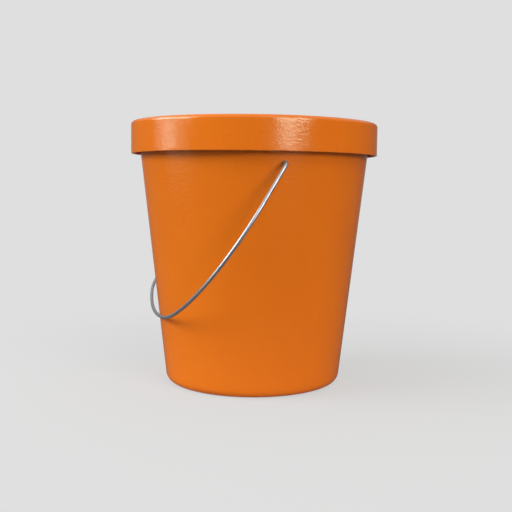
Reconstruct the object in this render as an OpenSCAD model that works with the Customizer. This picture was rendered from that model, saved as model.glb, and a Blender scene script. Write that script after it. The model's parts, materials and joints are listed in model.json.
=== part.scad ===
// Household bucket with a deep turned-down rim and a swinging wire bail.
// Millimetres. Z is up and z = 0 is the floor that the bucket stands on.
// The bucket's axis is the Z axis. The bail swings about a line parallel to Y,
// with its front pivot at -Y, and hangs against the wall on the -X side.

/* [Bucket] */
// Outer diameter of the rim
rim_d = 262; // [240:1:285]
// Overall height from the floor to the top of the rim
height = 276.5; // [250:0.5:310]
// How far the rim stands out from the wall at the skirt's lower edge
rim_overhang = 10; // [8:0.5:14]
// Height of the skirt that turns down from the rim
skirt_h = 33.5; // [20:0.5:45]
// Diameter at which the line of the wall meets the floor
base_d = 186.4; // [170:0.2:200]
// Thickness of the wall
wall_t = 2; // [1.5:0.1:3]
// Thickness of the skirt
skirt_t = 2; // [1.5:0.1:2.8]
// Thickness of the top of the rim
rim_t = 2.4; // [1.8:0.1:4]
// Thickness of the floor
floor_t = 2.5; // [1.8:0.1:4]

/* [Edges] */
// Radius of the foot corner, outside
foot_r = 9.7; // [6:0.1:12]
// Radius of the corner between floor and wall, inside
inside_r = 8; // [5:0.5:12]
// Radius of the rim's outer top edge
rim_edge_r = 3.8; // [2:0.1:5]
// Radius of the mouth's edge
mouth_edge_r = 1.6; // [0.5:0.1:2]
// Radius of the skirt's lower edges
skirt_edge_r = 0.7; // [0.3:0.1:0.7]
// Radius of the corners in the pocket behind the skirt
pocket_edge_r = 1.2; // [0.5:0.1:1.5]
// Width of the flat ring that the bucket stands on
ring_w = 5; // [3:0.5:8]
// How far the middle of the base is raised above the floor
base_lift = 3; // [1.5:0.1:5]
// Diameter of the moulding gate's stub under the base
gate_d = 7; // [4:0.5:10]
// How far the gate's stub stands out of the base
gate_h = 0.8; // [0.4:0.1:1.2]

/* [Bail] */
// Diameter of the bail's wire
wire_d = 3.6; // [2.8:0.1:4.5]
// Distance of the pivot holes below the skirt's lower edge
pivot_drop = 10.5; // [8:0.5:20]
// Distance from the pivot line to the crown of the bail
reach = 191; // [180:1:200]
// Bend radius of the crown
crown_r = 390; // [330:10:450]
// How far the crown's middle lies towards the rear
crown_shift = 20; // [0:1:24]
// Bend radius of the front shoulder
front_shoulder_r = 122; // [90:1:126]
// Bend radius of the rear shoulder
rear_shoulder_r = 45; // [30:1:90]
// Angle by which each leg leans outwards, in degrees
splay = 10; // [6:0.5:13]
// Bend radius of the elbows beside the wall
elbow_r = 6; // [4:0.5:8]
// Bend radius of the hooks inside the bucket
hook_r = 4; // [3:0.5:6]
// Length of the straight tail of each hook
hook_tail = 7; // [4:0.5:10]
// Gap between hook and wall, and so the bail's end play
end_play = 5; // [3:0.5:8]

/* [Clearances] */
// Radial clearance of the wire in its holes
hole_clear = 0.3; // [0.1:0.05:0.8]
// Gap between the raised bail and the rim
swing_gap = 0.5; // [0.3:0.1:2]
// Gap between the hanging bail and the wall
rest_gap = 0.3; // [0.2:0.1:1]

/* [Hidden] */

// The wall is a cone, and its outer radius at a height is wall_out(z)
rim_r = rim_d / 2;
skirt_z = height - skirt_h;
neck_r = rim_r - rim_overhang;
taper = (neck_r - base_d / 2) / skirt_z;
draft = atan(taper);
function wall_out(z) = base_d / 2 + taper * z;
function wall_in(z) = wall_out(z) - wall_t / cos(draft);

// Heights and radii of the rim, the pocket behind its skirt, and the base
pocket_z = height - rim_t;
skirt_in = rim_r - skirt_t;
pocket_r = min(pocket_edge_r, (skirt_in - wall_out(pocket_z)) / 3);
ring_out = base_d / 2 - foot_r * tan((90 - draft) / 2);
ring_in = ring_out - ring_w;
step_w = base_lift;
step_r = base_lift / 3;
floor_z = base_lift + floor_t;
arc_step = 10;

// The pivots, and the outline of the bail: u runs along the pivot line to the front,
// v runs from the pivot line to the crown, and angles are measured from v towards u
wire_r = wire_d / 2;
// The bends are a hair thicker than the straight stretches, which run into them by lap
bend_swell = 0.02;
lap = 0.3;
pivot_z = skirt_z - pivot_drop;
hole_r = wire_r + hole_clear;
elbow_u = rim_r + wire_r + swing_gap - elbow_r;
hook_u = wall_in(pivot_z) - end_play - wire_r;
leg_dir = [sin(splay), cos(splay)];
leg_out = [cos(splay), -sin(splay)];
elbow_c = [elbow_u, elbow_r];

// The shoulder's centre slides up beside the leg until its circle touches the crown's
function crown_c(shift) = [shift, reach - crown_r];
function leg_len(shift, r) =
    let (
        start = elbow_c + leg_out * (elbow_r - r) - crown_c(shift),
        along = start * leg_dir
    )
    sqrt(along * along - start * start + pow(crown_r - r, 2)) - along;
function shoulder_c(shift, r) =
    elbow_c + leg_out * (elbow_r - r) + leg_dir * leg_len(shift, r);
function crown_turn(shift, r) =
    let (line = shoulder_c(shift, r) - crown_c(shift))
    atan2(line[0], line[1]);

// The angle below level at which the crown comes to rest against the wall, found by
// halving: the nearest of the crown's points stands rest_gap off the wall
function crown_point(turn) =
    crown_c(-crown_shift) + crown_r * [sin(turn), cos(turn)];
function crown_gap(drop) =
    min([for (turn = [0:0.5:crown_turn(-crown_shift, front_shoulder_r)])
        let (p = crown_point(turn))
        (norm([p[0], p[1] * cos(drop)]) - wall_out(pivot_z - p[1] * sin(drop))) * cos(draft)
    ]) - wire_r;
function settle(low, high, tries) =
    let (mid = (low + high) / 2)
    tries == 0 ? low
    : crown_gap(mid) > rest_gap ? settle(mid, high, tries - 1)
    : settle(low, mid, tries - 1);
rest_drop = settle(20, 80, 24);

// Corners of an outline, each [x, y, radius], turned into points with round corners
function unit(v) = v / norm(v);
function corner_arc(before, corner, after, r) =
    let (
        a = unit(before - corner),
        b = unit(after - corner),
        half = acos(a * b) / 2,
        centre = corner + unit(a + b) * r / sin(half),
        first = corner + a * r / tan(half) - centre,
        last = corner + b * r / tan(half) - centre,
        turn = atan2(cross(first, last), first * last),
        n = ceil(abs(turn) / arc_step)
    )
    [for (i = [0:n])
        centre + [
            first[0] * cos(turn * i / n) - first[1] * sin(turn * i / n),
            first[0] * sin(turn * i / n) + first[1] * cos(turn * i / n)
        ]
    ];
function xy(p) = [p[0], p[1]];
function rounded(corners) =
    let (last = len(corners) - 1)
    [for (i = [0:last])
        let (p = corners[i])
        each p[2] == 0 ? [xy(p)]
            : corner_arc(xy(corners[max(i - 1, 0)]), xy(p), xy(corners[min(i + 1, last)]), p[2])
    ];

// Section of the bucket, from the middle of the underside out, up, over the rim,
// down the inside and back to the middle of the floor
section = [
    [0, base_lift, 0],
    [ring_in - step_w, base_lift, step_r],
    [ring_in, 0, step_r],
    [base_d / 2, 0, foot_r],
    [wall_out(pocket_z), pocket_z, pocket_r],
    [skirt_in, pocket_z, pocket_r],
    [skirt_in, skirt_z, skirt_edge_r],
    [rim_r, skirt_z, skirt_edge_r],
    [rim_r, height, rim_edge_r],
    [wall_in(height), height, mouth_edge_r],
    [wall_in(floor_t), floor_t, inside_r],
    [ring_in, floor_t, step_r],
    [ring_in - step_w, floor_z, step_r],
    [0, floor_z, 0]
];

// One hole through the wall on each side, along the pivot line
module pivot_holes() {
    for (side = [-1, 1])
        translate([0, side * wall_out(pivot_z), pivot_z])
            rotate([90, 0, 0])
                cylinder(h = 4 * wall_t, r = hole_r, center = true, $fn = 64);
}

module gate_stub() {
    translate([0, 0, base_lift - gate_h])
        cylinder(h = gate_h + floor_t / 2, d = gate_d, $fn = 48);
}

module bucket() {
    color("#d2691c")
    difference() {
        union() {
            rotate_extrude($fn = 180)
                polygon(rounded(section));
            gate_stub();
        }
        pivot_holes();
    }
}

// A straight stretch of wire between two points of the outline. It runs a little way
// into the bends at its ends
module straight(from, to) {
    line = to - from;
    start = from - unit(line) * lap;
    translate([start[0], start[1], 0])
        rotate([0, 0, atan2(line[1], line[0])])
            rotate([0, 90, 0])
                cylinder(h = norm(line) + 2 * lap, r = wire_r, $fn = 32);
}

// A bend of the wire about a centre, from one angle to another
module bend(centre, radius, from, to, section_r = wire_r + bend_swell) {
    translate([centre[0], centre[1], 0])
        rotate([0, 0, 90 - to])
            rotate_extrude(angle = to - from, $fn = 360)
                translate([radius, 0])
                    circle(section_r, $fn = 32);
}

// One side of the bail below its crown: hook, pin, elbow, leg and shoulder
module bail_side(shift, shoulder_r) {
    leg_foot = elbow_c + leg_out * elbow_r;
    leg_head = leg_foot + leg_dir * leg_len(shift, shoulder_r);
    straight([hook_u, hook_r + hook_tail], [hook_u, hook_r]);
    bend([hook_u + hook_r, hook_r], hook_r, 180, 270);
    straight([hook_u + hook_r, 0], [elbow_u, 0]);
    bend(elbow_c, elbow_r, 90 + splay, 180);
    straight(leg_foot, leg_head);
    bend(shoulder_c(shift, shoulder_r), shoulder_r, crown_turn(shift, shoulder_r), 90 + splay);
}

module crown() {
    lap_turn = lap / crown_r * 180 / PI;
    rear = crown_turn(crown_shift, rear_shoulder_r);
    front = crown_turn(-crown_shift, front_shoulder_r);
    bend(crown_c(-crown_shift), crown_r, -rear - lap_turn, front + lap_turn, wire_r);
}

module bail() {
    color("#9a9da1")
    translate([0, 0, pivot_z])
        rotate([0, 180 - rest_drop, 0])
            rotate([0, 0, -90]) {
                bail_side(-crown_shift, front_shoulder_r);
                mirror([1, 0, 0])
                    bail_side(crown_shift, rear_shoulder_r);
                crown();
            }
}

bucket();
bail();
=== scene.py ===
"""An orange plastic bucket with a galvanised wire bail, in a plain pale studio.

Metres, in the frame's own axes: Z is up, the bucket stands on z = 0 round the Z axis,
the bail swings about a line parallel to Y and hangs on the -X side.
"""

import json

import bpy
import numpy as np
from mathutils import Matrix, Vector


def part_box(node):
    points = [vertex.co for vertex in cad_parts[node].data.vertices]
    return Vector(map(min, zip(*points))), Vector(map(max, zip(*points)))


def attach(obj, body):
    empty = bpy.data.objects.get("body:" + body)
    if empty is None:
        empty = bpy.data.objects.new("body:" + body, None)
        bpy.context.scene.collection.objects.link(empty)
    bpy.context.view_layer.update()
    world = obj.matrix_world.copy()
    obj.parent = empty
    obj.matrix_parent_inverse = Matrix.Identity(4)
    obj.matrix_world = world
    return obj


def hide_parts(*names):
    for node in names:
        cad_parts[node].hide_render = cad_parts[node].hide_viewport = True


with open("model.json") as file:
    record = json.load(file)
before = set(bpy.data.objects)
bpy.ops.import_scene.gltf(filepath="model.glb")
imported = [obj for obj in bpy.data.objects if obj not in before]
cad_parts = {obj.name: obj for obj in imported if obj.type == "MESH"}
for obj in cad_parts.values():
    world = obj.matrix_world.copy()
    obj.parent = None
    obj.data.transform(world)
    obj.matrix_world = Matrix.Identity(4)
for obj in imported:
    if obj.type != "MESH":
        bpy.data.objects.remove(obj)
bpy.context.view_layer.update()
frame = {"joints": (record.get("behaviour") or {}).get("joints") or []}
_, bucket_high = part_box("bucket")
bail_low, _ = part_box("bail")
MM = 0.001

# Bucket: outer sizes, wall and edges
HEIGHT = bucket_high.z
RIM_R = 131 * MM
RIM_OVERHANG = 10 * MM
SKIRT_H = 33.5 * MM
BASE_R = 93.2 * MM
WALL_T = 2 * MM
SKIRT_T = 2 * MM
RIM_T = 2.4 * MM
FLOOR_T = 2.5 * MM
FOOT_R = 9.7 * MM
INSIDE_R = 8 * MM
RIM_EDGE_R = 3.8 * MM
MOUTH_EDGE_R = 1.6 * MM
SKIRT_EDGE_R = 0.7 * MM
POCKET_EDGE_R = 1.2 * MM
RING_W = 5 * MM
BASE_LIFT = 3 * MM
GATE_R = 3.5 * MM
GATE_H = 0.8 * MM
GATE_EDGE_R = 0.3 * MM

# Bail: the wire, its bends and its clearances
WIRE_R = 1.8 * MM
CROWN_R = 390 * MM
CROWN_SHIFT = 20 * MM
FRONT_SHOULDER_R = 122 * MM
REAR_SHOULDER_R = 45 * MM
SPLAY = np.radians(10)
ELBOW_R = 6 * MM
HOOK_R = 4 * MM
HOOK_TAIL = 7 * MM
END_PLAY = 5 * MM
HOLE_CLEAR = 0.3 * MM
SWING_GAP = 0.5 * MM
CUT_EDGE_R = 0.35 * MM

# How finely the surfaces are drawn
COLUMNS = 288
BLOCK = 4
HOLE_ROW = 2.5 * MM
WALL_ROW = 4 * MM
ARC_STEP = np.radians(9)
ROW_GAP = 0.8
HOLE_EDGE_R = 0.2 * MM
HOLE_EDGE_LOOPS = 4
HOLE_LOOPS = 6
HOLE_CROWDING = 1.5
WIRE_SIDES = 24
WIRE_STEP = 1.5 * MM
LEAST_BEND_STEPS = 10
CUT_RINGS = 4

# Camera, in the bucket's own frame turned by VIEW_TURN about Z
VIEW_TURN = np.radians(13.4)
CAMERA_DISTANCE = 882.6 * MM
CAMERA_HEIGHT = 211.2 * MM
CAMERA_YAW = 0.024
CAMERA_PITCH = -0.0867
CAMERA_ROLL = 0.0115
IMAGE_SIZE = 512
FOCAL_PIXELS = 812.62
CENTRE_PIXEL = 272.97
SENSOR_W = 36

# Colours, as linear light
ORANGE = (0.70, 0.157, 0.0074)
ORANGE_DEEP = (0.66, 0.142, 0.0063)
ORANGE_WORN = (0.78, 0.25, 0.05)
ZINC = (0.44, 0.455, 0.48)
ZINC_DULL = (0.31, 0.32, 0.335)

# Plastic: gloss, grain (noise scales, per metre), depth of its bumps, and worn edges
PLASTIC_IOR = 1.5
PLASTIC_SHINE = 0.5
PLASTIC_GLINT = (0.72, 1, 0.82, 1)
PLASTIC_ROUGH = (0.08, 0.22)
CLOUD_SCALE = 14
FLOW_SCALE = 60
FLOW_STRETCH = (1, 1, 0.06)
PEEL_SCALE = 650
SPECKLE_SCALE = 1500
MOTTLE_SCALE = 210
MOTTLE_STRETCH = (1, 1, 2)
PEEL_DEPTH = 0.1 * MM
MOTTLE_DEPTH = 0.26 * MM
FLOW_DEPTH = 0.3 * MM
FOOT_WEAR_Z = 1.5 * MM
EDGE_WEAR_REACH = 1.2 * MM
SCUFF_SCALE = 95
SCUFF_STRETCH = (1, 1, 3)
SCUFF_EDGE = (0.48, 0.66)
WORN_COLOUR_SHARE = 0.4
WORN_ROUGH = 0.25

# Wire: how metallic its coat is, its gloss, and its grain
ZINC_METAL = 0.78
ZINC_ROUGH = (0.28, 0.42)
PATCH_SCALE = 300
PATCH_STRETCH = (0.4, 1, 1)
DRAWN_SCALE = 2400
DRAWN_STRETCH = (0.02, 1, 1)
GRAIN_SCALE = 1800
ZINC_DEPTH = 0.04 * MM

# Lamps, each aimed at the bucket's middle: angles in degrees, lengths in metres
COOL = (0.96, 1.03, 1.05)
WARM = (1.03, 0.985, 0.92)
LAMP_AIM = np.array([0, 0, HEIGHT / 2])
LAMPS = [
    # name, azimuth, elevation, distance, width, height, power, tint
    ("right_softbox", 28.4, 7.3, 1.6, 0.36, 0.16, 1.15, WARM),
    ("right_spill", 27, 7.3, 1.75, 0.95, 0.16, 0.5, WARM),
    ("right_low_softbox", 32, 0, 1.7, 0.9, 0.24, 0.7, WARM),
    ("right_broad_softbox", 34, 19, 1.7, 0.8, 0.45, 12.9, WARM),
    ("right_high_softbox", 30, 45, 1.7, 1.0, 0.6, 3.2, WARM),
    ("left_softbox", -79.5, 7.3, 1.6, 0.42, 0.16, 0.86, COOL),
    ("left_spill", -80, 7.3, 1.75, 1.1, 0.16, 0.85, COOL),
    ("left_low_softbox", -75, 0, 1.7, 1.0, 0.24, 0.6, COOL),
    ("left_broad_softbox", -78, 27, 1.7, 1.3, 0.75, 28.5, COOL),
]

# Backdrop, sky and room: how bright each is, and where one gives way to the next
BACKDROP = 0.737
BEHIND = (np.sin(VIEW_TURN), np.cos(VIEW_TURN), 0)
BACKDROP_EDGE = (0.85, 1.15)
SKY_HIGH = 0.74
SKY_LOW = 0.05
SKY_EDGE = (0.12, 0.6)
ROOM = 0.1

# Floor: its paper, what it throws back, and distances from the bucket's axis
FLOOR_HALF = 30
FLOOR_WHITE = 0.53
FLOOR_SHADE = 0.3
FLOOR_NEAR = 0.15
FLOOR_FAR = 0.6
FLOOR_BOUNCE = 0.58
FLOOR_DIM = 0.1
BOUNCE_NEAR = 0.14
BOUNCE_FAR = 0.4

# Worked out from the values above
skirt_z = HEIGHT - SKIRT_H
taper = (RIM_R - RIM_OVERHANG - BASE_R) / skirt_z
draft = np.arctan(taper)
pocket_z = HEIGHT - RIM_T
skirt_in = RIM_R - SKIRT_T
ring_out = BASE_R - FOOT_R * np.tan((np.pi / 2 - draft) / 2)
ring_in = ring_out - RING_W
step_r = BASE_LIFT / 3
floor_z = BASE_LIFT + FLOOR_T
pivot_z = frame["joints"][0]["pos_m"][2]
hole_r = WIRE_R + HOLE_CLEAR
column_step = 2 * np.pi / COLUMNS
reach = np.hypot(bail_low.x + WIRE_R, pivot_z - WIRE_R - bail_low.z)
drop = np.arctan2(pivot_z - WIRE_R - bail_low.z, -bail_low.x - WIRE_R)
worn_edges = ((FOOT_WEAR_Z, 1.0), (skirt_z, 0.7), (HEIGHT, 0.3))


def wall_out(z):
    """Outer radius of the wall's cone: it grows evenly with height."""
    return BASE_R + taper * z


def wall_in(z):
    """Inner radius of the wall: the outer cone moved in by the wall's thickness."""
    return wall_out(z) - WALL_T / np.cos(draft)


def mesh_object(name, vertices, faces, body, material, node):
    """A smooth-shaded mesh object that rides on a body and stands for a CAD node."""
    mesh = bpy.data.meshes.new(name)
    mesh.from_pydata(vertices.tolist(), [], faces)
    mesh.polygons.foreach_set("use_smooth", np.ones(len(mesh.polygons), bool))
    mesh.validate()
    piece = bpy.data.objects.new(name, mesh)
    bpy.context.scene.collection.objects.link(piece)
    mesh.materials.append(material)
    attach(piece, body)
    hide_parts(node)
    return piece


def rounded(corners):
    """An outline whose corners (x, y, radius) are cut by arcs that touch both sides.

    The arc's centre lies on the corner's bisector, radius / sin(half the angle) away,
    and its ends lie radius / tan(half the angle) along each side.
    """
    corners = np.array(corners, float)
    points = corners[:, :2]
    run = [points[:1]]
    for before, at, after, radius in zip(points, points[1:], points[2:], corners[1:, 2]):
        if radius == 0:
            run.append(at[None])
            continue
        a = (before - at) / np.linalg.norm(before - at)
        b = (after - at) / np.linalg.norm(after - at)
        half = np.arccos(a @ b) / 2
        centre = at + (a + b) / np.linalg.norm(a + b) * radius / np.sin(half)
        first = at + a * radius / np.tan(half) - centre
        last = at + b * radius / np.tan(half) - centre
        turn = np.arctan2(first[0] * last[1] - first[1] * last[0], first @ last)
        angle = np.linspace(0, turn, int(np.ceil(abs(turn) / ARC_STEP)) + 1)[:, None]
        across = np.array([-first[1], first[0]])
        run.append(centre + first * np.cos(angle) + across * np.sin(angle))
    run.append(points[-1:])
    return np.concatenate(run)


def stepped(points, spacing, rows=()):
    """The outline with its long stretches cut into even steps.

    A stretch that crosses the given heights gets a point at each of them, and its
    even steps stay clear of them.
    """
    run = []
    for a, b in zip(points, points[1:]):
        share = np.linspace(0, 1, int(np.ceil(np.linalg.norm(b - a) / spacing)) + 1)
        if len(rows) and min(a[1], b[1]) < rows[0] and max(a[1], b[1]) > rows[-1]:
            marks = np.sort((rows - a[1]) / (b[1] - a[1]))
            gap = (marks[1] - marks[0]) * ROW_GAP
            clear = (share < marks[0] - gap) | (share > marks[-1] + gap)
            share = np.sort(np.concatenate([share[clear], marks]))
        run.append(a + (b - a) * share[:-1, None])
    run.append(points[-1:])
    return np.concatenate(run)


def bucket_section():
    """The bucket's half section: underside, wall, skirt, rim, mouth, inside, floor."""
    corners = [
        (0, BASE_LIFT - GATE_H, 0),
        (GATE_R, BASE_LIFT - GATE_H, GATE_EDGE_R),
        (GATE_R, BASE_LIFT, GATE_EDGE_R),
        (ring_in - BASE_LIFT, BASE_LIFT, step_r),
        (ring_in, 0, step_r),
        (BASE_R, 0, FOOT_R),
        (wall_out(pocket_z), pocket_z, POCKET_EDGE_R),
        (skirt_in, pocket_z, POCKET_EDGE_R),
        (skirt_in, skirt_z, SKIRT_EDGE_R),
        (RIM_R, skirt_z, SKIRT_EDGE_R),
        (RIM_R, HEIGHT, RIM_EDGE_R),
        (wall_in(HEIGHT), HEIGHT, MOUTH_EDGE_R),
        (wall_in(FLOOR_T), FLOOR_T, INSIDE_R),
        (ring_in, FLOOR_T, step_r),
        (ring_in - BASE_LIFT, floor_z, step_r),
        (0, floor_z, 0),
    ]
    rows = pivot_z + HOLE_ROW * np.arange(-BLOCK, BLOCK + 1)
    return stepped(rounded(corners), WALL_ROW, rows)


def hole_strip(angle, outer_rows, inner_rows):
    """One pivot hole, as loops that run from the outer wall through it to the inner wall.

    Each loop has one point for each edge of the square of cells that the hole takes
    out of the wall. The loops shrink evenly from that square to the hole's circle,
    round its edge by a quarter turn, run through the bore, and grow out again inside.
    Returns the points of every loop but the first and last, which are the wall's own.
    """
    side = np.arange(-BLOCK, BLOCK)
    end = np.full(2 * BLOCK, BLOCK)
    across = np.concatenate([end, -side, -end, side])
    up = np.roll(across, 2 * BLOCK)
    turn = np.linspace(0, 2 * np.pi, 8 * BLOCK, endpoint=False) - np.pi / 4
    circle = np.stack([np.cos(turn), np.sin(turn)], -1)
    centre = np.array([0, pivot_z])
    quarter = np.linspace(0, np.pi / 2, HOLE_EDGE_LOOPS + 1)[1:, None]
    share = np.linspace(0, 1, HOLE_LOOPS + 1)[1:, None, None]
    shrink = 1 - (1 - share) ** HOLE_CROWDING

    def half(rows, wall, inward):
        height = rows[up + BLOCK]
        square = np.stack([wall(height) * np.sin(across * column_step), height], -1)
        loops = square + (centre + circle * (hole_r + HOLE_EDGE_R) - square) * shrink
        depth = np.sqrt(wall(loops[..., 1]) ** 2 - loops[..., 0] ** 2)
        edge_r = (hole_r + HOLE_EDGE_R * (1 - np.sin(quarter)))[..., None]
        edge = centre + circle * edge_r
        edge_depth = depth[-1] - inward * HOLE_EDGE_R * (1 - np.cos(quarter))
        loops = np.concatenate([loops, edge])
        depth = np.concatenate([depth, edge_depth])
        return np.concatenate([loops, depth[..., None]], -1)

    outer = half(outer_rows, wall_out, 1)
    inner = half(inner_rows, wall_in, -1)[::-1]
    a, height, depth = np.moveaxis(np.concatenate([outer, inner]), -1, 0)
    x = depth * np.cos(angle) - a * np.sin(angle)
    y = depth * np.sin(angle) + a * np.cos(angle)
    return np.stack([x, y, height], -1), across, up


def bucket_mesh():
    """The section turned round the Z axis, with both pivot holes worked into the wall.

    Point (row, column) is (r cos t, r sin t, z): r and z come from the section's row,
    t from the column. The two ends of the section are single points on the axis.
    """
    section = bucket_section()
    rings = section[1:-1]
    turn = np.arange(COLUMNS) * column_step
    r, z = rings[:, :1], rings[:, 1:]
    grid = np.stack([r * np.cos(turn), r * np.sin(turn), z + 0 * turn], -1)
    count = len(rings)
    index = np.arange(count * COLUMNS).reshape(count, COLUMNS)
    beside = np.roll(index, -1, 1)
    cells = np.stack([index[:-1], beside[:-1], beside[1:], index[1:]], -1)
    keep = np.ones(cells.shape[:2], bool)

    top = np.argmax(rings[:, 1])
    level = np.abs(rings[:, 1] - pivot_z)
    outer_row = np.argmin(level[:top])
    inner_row = top + np.argmin(level[top:])
    vertices = [grid.reshape(-1, 3)]
    extra = []
    used = grid.size // 3
    for column, angle in ((COLUMNS // 4, np.pi / 2), (3 * COLUMNS // 4, 3 * np.pi / 2)):
        block = np.arange(-BLOCK, BLOCK + 1)
        loops, across, up = hole_strip(
            angle, rings[outer_row + block, 1], rings[inner_row - block, 1]
        )
        columns = slice(column - BLOCK, column + BLOCK)
        keep[outer_row - BLOCK : outer_row + BLOCK, columns] = False
        keep[inner_row - BLOCK : inner_row + BLOCK, columns] = False
        own = used + np.arange(loops.size // 3).reshape(loops.shape[:2])
        first = index[outer_row + up, column + across]
        last = index[inner_row - up, column + across]
        strip = np.concatenate([first[None], own, last[None]])
        round_strip = np.roll(strip, -1, 1)
        quads = np.stack([strip[:-1], round_strip[:-1], round_strip[1:], strip[1:]], -1)
        extra.append(quads.reshape(-1, 4))
        vertices.append(loops.reshape(-1, 3))
        used += own.size
    vertices.append(np.array([[0, 0, section[0, 1]], [0, 0, section[-1, 1]]]))
    quads = np.concatenate([cells[keep], *extra])
    under = np.stack([beside[0], index[0], np.full(COLUMNS, used)], -1)
    over = np.stack([index[-1], beside[-1], np.full(COLUMNS, used + 1)], -1)
    kept, quads = np.unique(quads, return_inverse=True)
    kept = np.concatenate([kept, [used, used + 1]])
    place = np.full(used + 2, -1)
    place[kept] = np.arange(len(kept))
    faces = quads.reshape(-1, 4).tolist() + place[under].tolist() + place[over].tolist()
    return np.concatenate(vertices)[kept], faces


def heading_vector(heading):
    """Unit vector in the bail's outline for a heading measured from v towards u."""
    return np.stack([np.sin(heading), np.cos(heading)], -1)


def straight(start, end):
    """Even points along a straight stretch, each (u, v, heading)."""
    line = end - start
    share = np.linspace(0, 1, int(np.ceil(np.linalg.norm(line) / WIRE_STEP)) + 1)[:, None]
    heading = np.full_like(share, np.arctan2(line[0], line[1]))
    return np.hstack([start + line * share, heading])


def bend(centre, radius, start, end):
    """Even points round a centre from one angle to another, each (u, v, heading)."""
    count = max(LEAST_BEND_STEPS, int(np.ceil(abs(end - start) * radius / WIRE_STEP)))
    angle = np.linspace(start, end, count + 1)
    heading = angle + np.sign(end - start) * np.pi / 2
    return np.hstack([centre + radius * heading_vector(angle), heading[:, None]])


def bail_side(shift, shoulder_r):
    """Hook, pin, elbow, leg and shoulder of one side, from the wire's cut end inwards.

    The leg is as long as puts the shoulder's circle in touch with the crown's.
    """
    crown_c = np.array([shift, reach - CROWN_R])
    leg_out = np.array([np.cos(SPLAY), -np.sin(SPLAY)])
    leg_dir = heading_vector(SPLAY)
    elbow_u = RIM_R + WIRE_R + SWING_GAP - ELBOW_R
    hook_u = wall_in(pivot_z) - END_PLAY - WIRE_R
    elbow_c = np.array([elbow_u, ELBOW_R])
    start = elbow_c + leg_out * (ELBOW_R - shoulder_r) - crown_c
    along = start @ leg_dir
    leg_len = np.sqrt(along**2 - start @ start + (CROWN_R - shoulder_r) ** 2) - along
    leg_foot = elbow_c + leg_out * ELBOW_R
    leg_head = leg_foot + leg_dir * leg_len
    shoulder_c = leg_head - leg_out * shoulder_r
    crown_turn = np.arctan2(*(shoulder_c - crown_c))
    tail = np.array([hook_u, HOOK_R + HOOK_TAIL])
    hook_c = np.array([hook_u + HOOK_R, HOOK_R])
    pieces = [
        straight(tail, np.array([hook_u, HOOK_R])),
        bend(hook_c, HOOK_R, -np.pi / 2, -np.pi),
        straight(np.array([hook_u + HOOK_R, 0]), np.array([elbow_u, 0])),
        bend(elbow_c, ELBOW_R, np.pi, np.pi / 2 + SPLAY),
        straight(leg_foot, leg_head),
        bend(shoulder_c, shoulder_r, np.pi / 2 + SPLAY, crown_turn),
    ]
    return np.concatenate([piece[1:] for piece in pieces]), crown_turn


def bail_outline():
    """The wire's whole centreline, front hook to rear hook, each point (u, v, heading)."""
    front, front_turn = bail_side(-CROWN_SHIFT, FRONT_SHOULDER_R)
    rear, rear_turn = bail_side(CROWN_SHIFT, REAR_SHOULDER_R)
    crown_c = np.array([-CROWN_SHIFT, reach - CROWN_R])
    crown = bend(crown_c, CROWN_R, front_turn, -rear_turn)
    rear = rear[::-1] * [-1, 1, -1] + [0, 0, np.pi]
    return np.concatenate([front, crown[1:], rear[1:]])


def bail_mesh():
    """A round section carried along the outline, with its cut ends rounded over.

    Point (k, a) is the outline's point k, plus the wire's radius times cos a along the
    outline's own normal and sin a across its plane. Also returns each point's place on
    the wire as if it lay straight: its way along, then radius times cos a and sin a.
    """
    outline = bail_outline()
    place, heading = outline[:, :2], outline[:, 2]
    ends = np.linspace(0, np.pi / 2, CUT_RINGS)
    inset = CUT_EDGE_R * (1 - np.cos(ends))
    radius = WIRE_R - inset
    out = CUT_EDGE_R * np.sin(ends)
    first = place[0] - heading_vector(heading[0]) * out[::-1, None]
    last = place[-1] + heading_vector(heading[-1]) * out[:, None]
    place = np.concatenate([first, place[1:-1], last])
    first, last = np.full(CUT_RINGS, heading[0]), np.full(CUT_RINGS, heading[-1])
    heading = np.concatenate([first, heading[1:-1], last])
    radius = np.concatenate([radius[::-1], np.full(len(outline) - 2, WIRE_R), radius])
    turn = np.linspace(0, 2 * np.pi, WIRE_SIDES, endpoint=False)
    normal = heading_vector(heading + np.pi / 2)
    axes = np.array([[0, -1, 0], [-np.cos(drop), 0, -np.sin(drop)]])
    plane_normal = np.cross(axes[1], axes[0])
    centre = place @ axes + [0, 0, pivot_z]
    ring = (normal @ axes)[:, None] * np.cos(turn)[:, None]
    ring = ring + plane_normal * np.sin(turn)[:, None]
    vertices = centre[:, None] + ring * radius[:, None, None]
    index = np.arange(vertices.size // 3).reshape(vertices.shape[:2])
    beside = np.roll(index, -1, 1)
    quads = np.stack([index[:-1], beside[:-1], beside[1:], index[1:]], -1).reshape(-1, 4)
    faces = quads.tolist() + [index[0, ::-1].tolist(), index[-1].tolist()]
    step = np.linalg.norm(np.diff(place, axis=0), axis=1)
    along = np.concatenate([[0], np.cumsum(step)])[:, None] + 0 * turn
    around = WIRE_R * np.stack([np.cos(turn), np.sin(turn)], -1) + 0 * along[..., None]
    unbent = np.concatenate([along[..., None], around], -1)
    return vertices.reshape(-1, 3), faces, unbent


def add(tree, kind, values=None, **settings):
    """A shader node with the given settings and input values."""
    made = tree.nodes.new(kind)
    for name, value in settings.items():
        setattr(made, name, value)
    for name, value in (values or {}).items():
        made.inputs[name].default_value = value
    return made


def material_tree(name):
    """A new material and its empty node tree."""
    material = bpy.data.materials.new(name)
    material.use_nodes = True
    material.node_tree.nodes.clear()
    return material, material.node_tree


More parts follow.
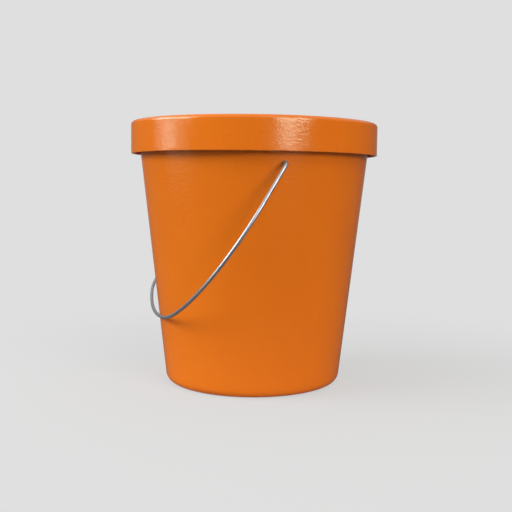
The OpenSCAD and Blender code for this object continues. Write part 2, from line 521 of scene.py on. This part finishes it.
def noise(tree, vector, scale, detail=3.0, stretch=(1, 1, 1)):
    """Noise on the given coordinates, stretched along an axis where asked."""
    mapping = add(tree, "ShaderNodeMapping", {"Scale": stretch})
    made = add(tree, "ShaderNodeTexNoise", {"Scale": scale, "Detail": detail})
    tree.links.new(vector, mapping.inputs["Vector"])
    tree.links.new(mapping.outputs["Vector"], made.inputs["Vector"])
    return made.outputs["Fac"]


def maths(tree, operation, first, second):
    """Two values put together, each a socket or a number."""
    made = add(tree, "ShaderNodeMath", operation=operation)
    for socket, value in zip(made.inputs, (first, second)):
        if isinstance(value, float):
            socket.default_value = value
        else:
            tree.links.new(value, socket)
    return made.outputs["Value"]


def ranged(tree, value, low, high, from_low=0.3, from_high=0.7):
    """The value moved from its usual range to another."""
    made = add(
        tree,
        "ShaderNodeMapRange",
        {"From Min": from_low, "From Max": from_high, "To Min": low, "To Max": high},
    )
    tree.links.new(value, made.inputs["Value"])
    return made.outputs["Result"]


def mixed_colour(tree, share, first, second):
    """Two colours mixed by a share, each a socket or three numbers."""
    made = add(tree, "ShaderNodeMix", data_type="RGBA")
    for name, colour in (("A", first), ("B", second)):
        if isinstance(colour, tuple):
            made.inputs[name].default_value = (*colour, 1)
        else:
            tree.links.new(colour, made.inputs[name])
    tree.links.new(share, made.inputs["Factor"])
    return made.outputs["Result"]


def chained_bumps(tree, layers):
    """Bumps laid over each other, each (height, how far it stands up, its strength)."""
    normal = None
    for height, distance, strength in layers:
        bump = add(tree, "ShaderNodeBump", {"Strength": strength, "Distance": distance})
        tree.links.new(height, bump.inputs["Height"])
        if normal:
            tree.links.new(normal, bump.inputs["Normal"])
        normal = bump.outputs["Normal"]
    return normal


def edge_wear(tree, place):
    """Broken pale rubbing at the heights of the foot, the skirt's edge and the rim's top.

    At each height the wear starts at that height's share in worn_edges and falls to 0
    over EDGE_WEAR_REACH above and below it, and noise breaks it into short scuffs.
    """
    height = add(tree, "ShaderNodeSeparateXYZ")
    tree.links.new(place, height.inputs["Vector"])
    wear = 0.0
    for level, share in worn_edges:
        away = maths(tree, "SUBTRACT", height.outputs["Z"], float(level))
        away = maths(tree, "ABSOLUTE", away, 0.0)
        near = ranged(tree, away, share, 0, 0, EDGE_WEAR_REACH)
        wear = maths(tree, "MAXIMUM", near, wear)
    scuffs = noise(tree, place, SCUFF_SCALE, 6, SCUFF_STRETCH)
    scuffs = ranged(tree, scuffs, 0, 1, *SCUFF_EDGE)
    return maths(tree, "MULTIPLY", wear, scuffs)


def moulded_plastic():
    """Glossy orange plastic: clouded pigment, flow lines up the wall, a fine orange peel
    that breaks up the gloss, and pale rubbing along the edges."""
    material, tree = material_tree("moulded_orange_plastic")
    place = add(tree, "ShaderNodeTexCoord").outputs["Object"]
    shader = add(
        tree,
        "ShaderNodeBsdfPrincipled",
        {
            "IOR": PLASTIC_IOR,
            "Specular IOR Level": PLASTIC_SHINE,
            "Specular Tint": PLASTIC_GLINT,
        },
    )
    out = add(tree, "ShaderNodeOutputMaterial")
    clouds = noise(tree, place, CLOUD_SCALE, 4)
    flow = noise(tree, place, FLOW_SCALE, 2, FLOW_STRETCH)
    peel = noise(tree, place, PEEL_SCALE, 2)
    speckle = noise(tree, place, SPECKLE_SCALE, 1)
    mottle = noise(tree, place, MOTTLE_SCALE, 5, MOTTLE_STRETCH)
    wear = edge_wear(tree, place)
    share = maths(tree, "ADD", ranged(tree, clouds, 0, 0.7), ranged(tree, speckle, 0, 0.3))
    colour = mixed_colour(tree, share, ORANGE, ORANGE_DEEP)
    paler = maths(tree, "MULTIPLY", wear, WORN_COLOUR_SHARE)
    colour = mixed_colour(tree, paler, colour, ORANGE_WORN)
    even = ranged(tree, mottle, *PLASTIC_ROUGH)
    rough = maths(tree, "ADD", even, maths(tree, "MULTIPLY", wear, WORN_ROUGH))
    layers = ((peel, PEEL_DEPTH, 0.9), (mottle, MOTTLE_DEPTH, 0.7), (flow, FLOW_DEPTH, 0.25))
    normal = chained_bumps(tree, layers)
    tree.links.new(colour, shader.inputs["Base Color"])
    tree.links.new(rough, shader.inputs["Roughness"])
    tree.links.new(normal, shader.inputs["Normal"])
    tree.links.new(shader.outputs["BSDF"], out.inputs["Surface"])
    return material


def galvanised_wire():
    """Dull zinc coat on drawn wire: grey patches, grain, and fine lines along its length.

    The wire's "unbent" attribute gives each point as if the wire lay straight.
    """
    material, tree = material_tree("galvanised_wire")
    place = add(tree, "ShaderNodeAttribute", attribute_name="unbent").outputs["Vector"]
    shader = add(tree, "ShaderNodeBsdfPrincipled", {"Metallic": ZINC_METAL})
    out = add(tree, "ShaderNodeOutputMaterial")
    patches = noise(tree, place, PATCH_SCALE, 4, PATCH_STRETCH)
    drawn = noise(tree, place, DRAWN_SCALE, 3, DRAWN_STRETCH)
    grain = noise(tree, place, GRAIN_SCALE, 2)
    share = maths(tree, "ADD", ranged(tree, patches, 0, 0.7), ranged(tree, drawn, 0, 0.3))
    colour = mixed_colour(tree, share, ZINC, ZINC_DULL)
    normal = chained_bumps(tree, ((grain, ZINC_DEPTH, 0.3), (drawn, ZINC_DEPTH, 0.5)))
    tree.links.new(colour, shader.inputs["Base Color"])
    tree.links.new(ranged(tree, patches, *ZINC_ROUGH), shader.inputs["Roughness"])
    tree.links.new(normal, shader.inputs["Normal"])
    tree.links.new(shader.outputs["BSDF"], out.inputs["Surface"])
    return material


def camera_frame():
    """The camera's place, and its right, up and forward directions.

    It stands in front of the bucket, looks ahead by its yaw and pitch, and leans by its
    roll. All of it is then turned by VIEW_TURN about Z.
    """
    level = np.array([np.sin(CAMERA_YAW), np.cos(CAMERA_YAW), 0])
    forward = level * np.cos(CAMERA_PITCH) + [0, 0, np.sin(CAMERA_PITCH)]
    right = np.array([np.cos(CAMERA_YAW), -np.sin(CAMERA_YAW), 0])
    up = np.cross(right, forward)
    c, s = np.cos(CAMERA_ROLL), np.sin(CAMERA_ROLL)
    right, up = c * right + s * up, c * up - s * right
    place = np.array([0, -CAMERA_DISTANCE, CAMERA_HEIGHT])
    c, s = np.cos(VIEW_TURN), np.sin(VIEW_TURN)
    turn = np.array([[c, s, 0], [-s, c, 0], [0, 0, 1]])
    return turn @ place, turn @ right, turn @ up, turn @ forward


def add_camera():
    """The camera, its axes set straight from the directions of camera_frame."""
    place, right, up, forward = camera_frame()
    data = bpy.data.cameras.new("camera")
    data.sensor_width = SENSOR_W
    data.lens = FOCAL_PIXELS / IMAGE_SIZE * SENSOR_W
    data.shift_x = (IMAGE_SIZE / 2 - CENTRE_PIXEL) / IMAGE_SIZE
    data.clip_start = 0.01
    camera = bpy.data.objects.new("camera", data)
    matrix = np.eye(4)
    matrix[:3] = np.stack([right, up, -forward, place], -1)
    camera.matrix_world = matrix.T.tolist()
    bpy.context.scene.collection.objects.link(camera)
    bpy.context.scene.camera = camera


def softbox(name, azimuth, elevation, distance, width, height, power, tint):
    """A square-cornered lamp, slightly tinted, aimed at the bucket's middle.

    The azimuth is counted from the camera's side of the bucket, to the right, and the
    elevation from level, both in degrees.
    """
    data = bpy.data.lights.new(name, "AREA")
    data.shape = "RECTANGLE"
    data.size = width
    data.size_y = height
    data.energy = power
    data.color = tint
    a = np.radians(azimuth) - VIEW_TURN
    e = np.radians(elevation)
    out = np.array([np.sin(a) * np.cos(e), -np.cos(a) * np.cos(e), np.sin(e)])
    right = np.array([np.cos(a), np.sin(a), 0])
    matrix = np.eye(4)
    matrix[:3] = np.stack([right, np.cross(out, right), out, LAMP_AIM + out * distance], -1)
    lamp = bpy.data.objects.new(name, data)
    lamp.matrix_world = matrix.T.tolist()
    bpy.context.scene.collection.objects.link(lamp)
    return lamp


def add_lamps():
    """All the softboxes."""
    for lamp in LAMPS:
        softbox(*lamp)


def backdrop_level(tree, place, sky):
    """How much light a ray meets on the backdrop and overhead.

    The camera sees the pale backdrop all round. For gloss and glass it stands behind
    the bucket, as far round as BACKDROP_EDGE says, and elsewhere they meet what lights
    the bucket: a dim room, and a sky where the floor doesn't hide it.
    Returns the level, and whether the camera, gloss or glass sees it.
    """
    path = add(tree, "ShaderNodeLightPath")
    gloss, glass = path.outputs["Is Glossy Ray"], path.outputs["Is Transmission Ray"]
    mirrored = maths(tree, "MAXIMUM", gloss, glass)
    seen = maths(tree, "MAXIMUM", path.outputs["Is Camera Ray"], mirrored)
    heading = add(tree, "ShaderNodeVectorMath", operation="NORMALIZE")
    behind = add(tree, "ShaderNodeVectorMath", operation="DOT_PRODUCT")
    behind.inputs[1].default_value = BEHIND
    tree.links.new(place, heading.inputs[0])
    tree.links.new(heading.outputs["Vector"], behind.inputs[0])
    wall = ranged(tree, behind.outputs["Value"], ROOM, BACKDROP, *BACKDROP_EDGE)
    wall.node.interpolation_type = "SMOOTHSTEP"
    shone = maths(tree, "MAXIMUM", maths(tree, "MULTIPLY", wall, mirrored), sky)
    unseen = maths(tree, "SUBTRACT", 1.0, path.outputs["Is Camera Ray"])
    rest = maths(tree, "MULTIPLY", shone, unseen)
    backdrop = maths(tree, "MULTIPLY", path.outputs["Is Camera Ray"], BACKDROP)
    return maths(tree, "ADD", rest, backdrop), seen


def add_world():
    """The pale backdrop with a soft sky overhead that is dim towards the horizon."""
    world = bpy.data.worlds.new("studio")
    world.use_nodes = True
    tree = world.node_tree
    tree.nodes.clear()
    place = add(tree, "ShaderNodeTexCoord").outputs["Object"]
    height = add(tree, "ShaderNodeSeparateXYZ")
    tree.links.new(place, height.inputs["Vector"])
    sky = ranged(tree, height.outputs["Z"], SKY_LOW, SKY_HIGH, *SKY_EDGE)
    sky.node.interpolation_type = "SMOOTHSTEP"
    level, _ = backdrop_level(tree, place, sky)
    background = add(tree, "ShaderNodeBackground", {"Color": (1, 1, 1, 1)})
    out = add(tree, "ShaderNodeOutputWorld")
    tree.links.new(level, background.inputs["Strength"])
    tree.links.new(background.outputs["Background"], out.inputs["Surface"])
    bpy.context.scene.world = world


def paper_floor():
    """White paper: lit and shadowed near the bucket, plain backdrop further off.

    The camera sees a share of the lit paper, gloss sees the plain level, and other rays
    get light thrown back that is bright near the bucket and dim further off.
    """
    material, tree = material_tree("paper_floor")
    place = add(tree, "ShaderNodeTexCoord").outputs["Object"]
    distance = add(tree, "ShaderNodeVectorMath", operation="LENGTH")
    tree.links.new(place, distance.inputs[0])
    near = ranged(tree, distance.outputs["Value"], FLOOR_SHADE, 0, FLOOR_NEAR, FLOOR_FAR)
    near.node.interpolation_type = "SMOOTHSTEP"
    level, seen = backdrop_level(tree, place, 0.0)
    path = add(tree, "ShaderNodeLightPath")
    shown = maths(tree, "MULTIPLY", near, path.outputs["Is Camera Ray"])
    away = distance.outputs["Value"]
    thrown = ranged(tree, away, FLOOR_BOUNCE, FLOOR_DIM, BOUNCE_NEAR, BOUNCE_FAR)
    thrown.node.interpolation_type = "SMOOTHSTEP"
    lit = add(tree, "ShaderNodeBsdfDiffuse", {"Color": (FLOOR_WHITE,) * 3 + (1,)})
    bounce = add(tree, "ShaderNodeBsdfDiffuse")
    tree.links.new(thrown, bounce.inputs["Color"])
    plain = add(tree, "ShaderNodeEmission", {"Color": (1, 1, 1, 1)})
    mixed = add(tree, "ShaderNodeMixShader")
    both = add(tree, "ShaderNodeMixShader")
    out = add(tree, "ShaderNodeOutputMaterial")
    tree.links.new(level, plain.inputs["Strength"])
    tree.links.new(shown, mixed.inputs["Fac"])
    tree.links.new(plain.outputs["Emission"], mixed.inputs[1])
    tree.links.new(lit.outputs["BSDF"], mixed.inputs[2])
    tree.links.new(seen, both.inputs["Fac"])
    tree.links.new(bounce.outputs["BSDF"], both.inputs[1])
    tree.links.new(mixed.outputs["Shader"], both.inputs[2])
    tree.links.new(both.outputs["Shader"], out.inputs["Surface"])
    return material


def add_floor():
    """One large square of paper at z = 0."""
    mesh = bpy.data.meshes.new("floor")
    corners = np.array([[-1, -1, 0], [1, -1, 0], [1, 1, 0], [-1, 1, 0]]) * FLOOR_HALF
    mesh.from_pydata(corners.tolist(), [], [[0, 1, 2, 3]])
    mesh.materials.append(paper_floor())
    floor = bpy.data.objects.new("floor", mesh)
    bpy.context.scene.collection.objects.link(floor)


vertices, faces = bucket_mesh()
mesh_object("bucket_shell", vertices, faces, "bucket", moulded_plastic(), "bucket")
vertices, faces, unbent = bail_mesh()
wire = mesh_object("bail_wire", vertices, faces, "bail", galvanised_wire(), "bail")
straightened = wire.data.attributes.new("unbent", "FLOAT_VECTOR", "POINT")
straightened.data.foreach_set("vector", unbent.ravel())

add_camera()
add_lamps()
add_world()
add_floor()
bpy.context.scene.view_settings.view_transform = "Standard"
